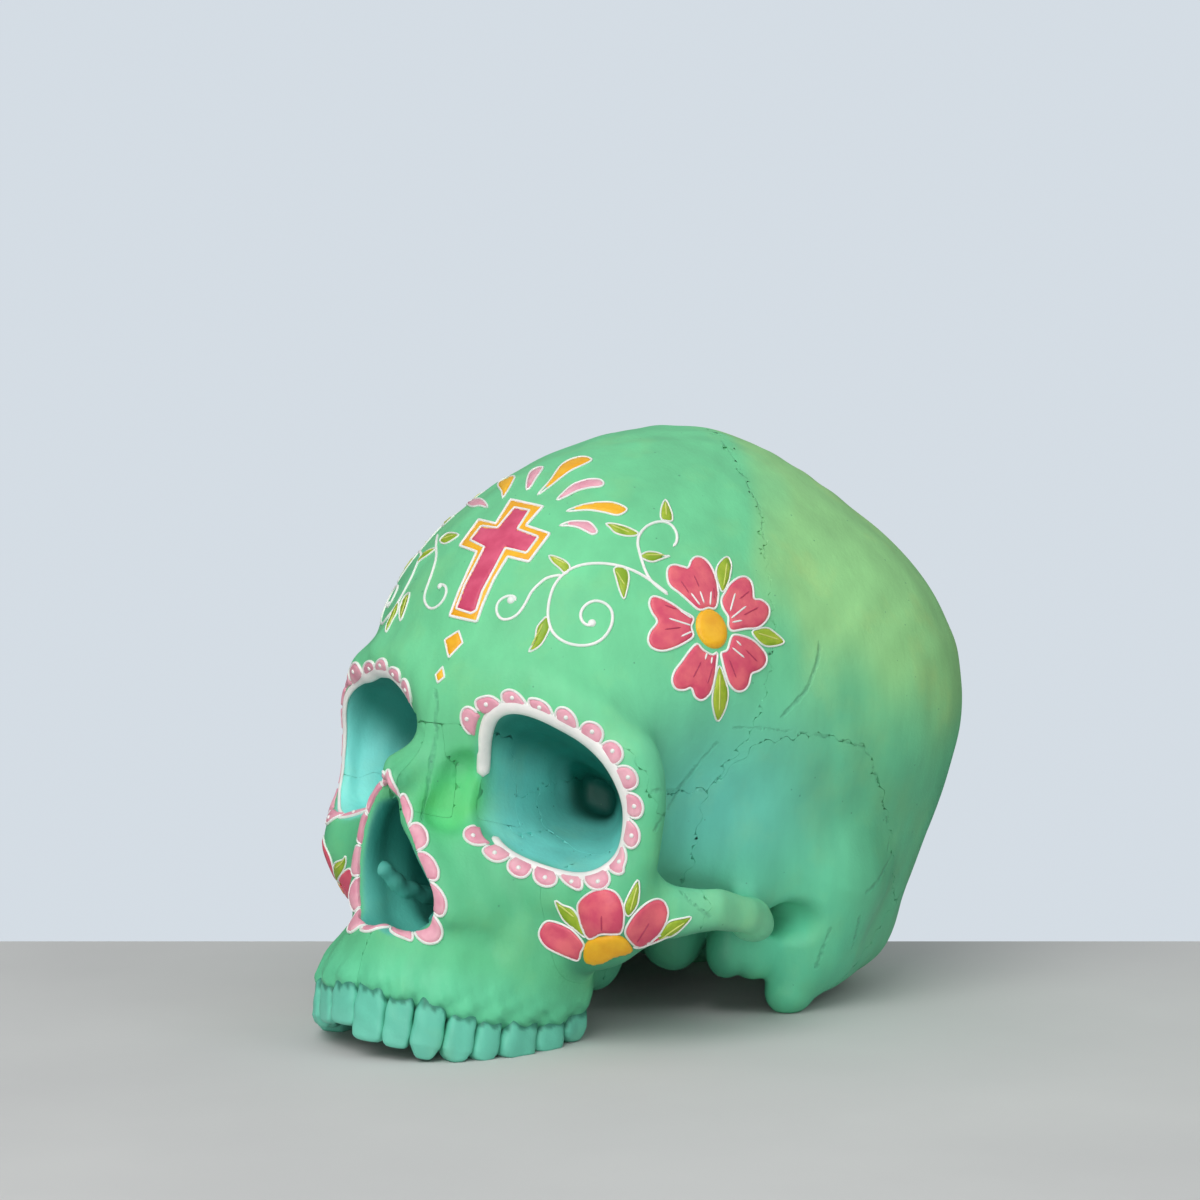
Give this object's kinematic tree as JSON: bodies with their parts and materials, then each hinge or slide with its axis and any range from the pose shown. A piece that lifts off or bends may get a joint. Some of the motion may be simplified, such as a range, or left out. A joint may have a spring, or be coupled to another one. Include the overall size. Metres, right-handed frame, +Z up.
{
  "type": "sugar skull",
  "caption": "Life-size painted sugar skull without its lower jaw, assembled from separate bones and upper teeth, with a raised white bead round each eye socket.",
  "frame": {"origin": "on the table, under the middle of the skull's length and breadth", "axes": "-Y the way the face looks, +Y the back of the head, +X the skull's own left, +Z up from the table"},
  "size_m": [0.1476, 0.1958, 0.1545],
  "materials": {
    "face_bone": "hand painted mint green, satin",
    "vault_bone": "hand painted mint shading to olive yellow, satin",
    "socket_bone": "hand painted dark teal, satin",
    "teeth": "hand painted teal, satin",
    "white_bead": "raised white paint, satin"
  },
  "bodies": {
    "root": {"frontal": "face_bone", "left_parietal": "vault_bone", "right_parietal": "vault_bone", "occipital": "vault_bone", "left_temporal": "face_bone", "right_temporal": "face_bone", "sphenoid": "face_bone", "left_zygomatic": "face_bone", "right_zygomatic": "face_bone", "left_maxilla": "face_bone", "right_maxilla": "face_bone", "left_nasal": "face_bone", "right_nasal": "face_bone", "left_palatine": "face_bone", "right_palatine": "face_bone", "left_lacrimal": "socket_bone", "right_lacrimal": "socket_bone", "ethmoid": "socket_bone", "vomer": "socket_bone", "left_concha": "socket_bone", "right_concha": "socket_bone", "left_central_incisor": "teeth", "left_lateral_incisor": "teeth", "left_canine": "teeth", "left_first_premolar": "teeth", "left_second_premolar": "teeth", "left_first_molar": "teeth", "left_second_molar": "teeth", "left_third_molar": "teeth", "right_central_incisor": "teeth", "right_lateral_incisor": "teeth", "right_canine": "teeth", "right_first_premolar": "teeth", "right_second_premolar": "teeth", "right_first_molar": "teeth", "right_second_molar": "teeth", "right_third_molar": "teeth", "left_eye_bead": "white_bead", "right_eye_bead": "white_bead"}
  },
  "joints": []
}
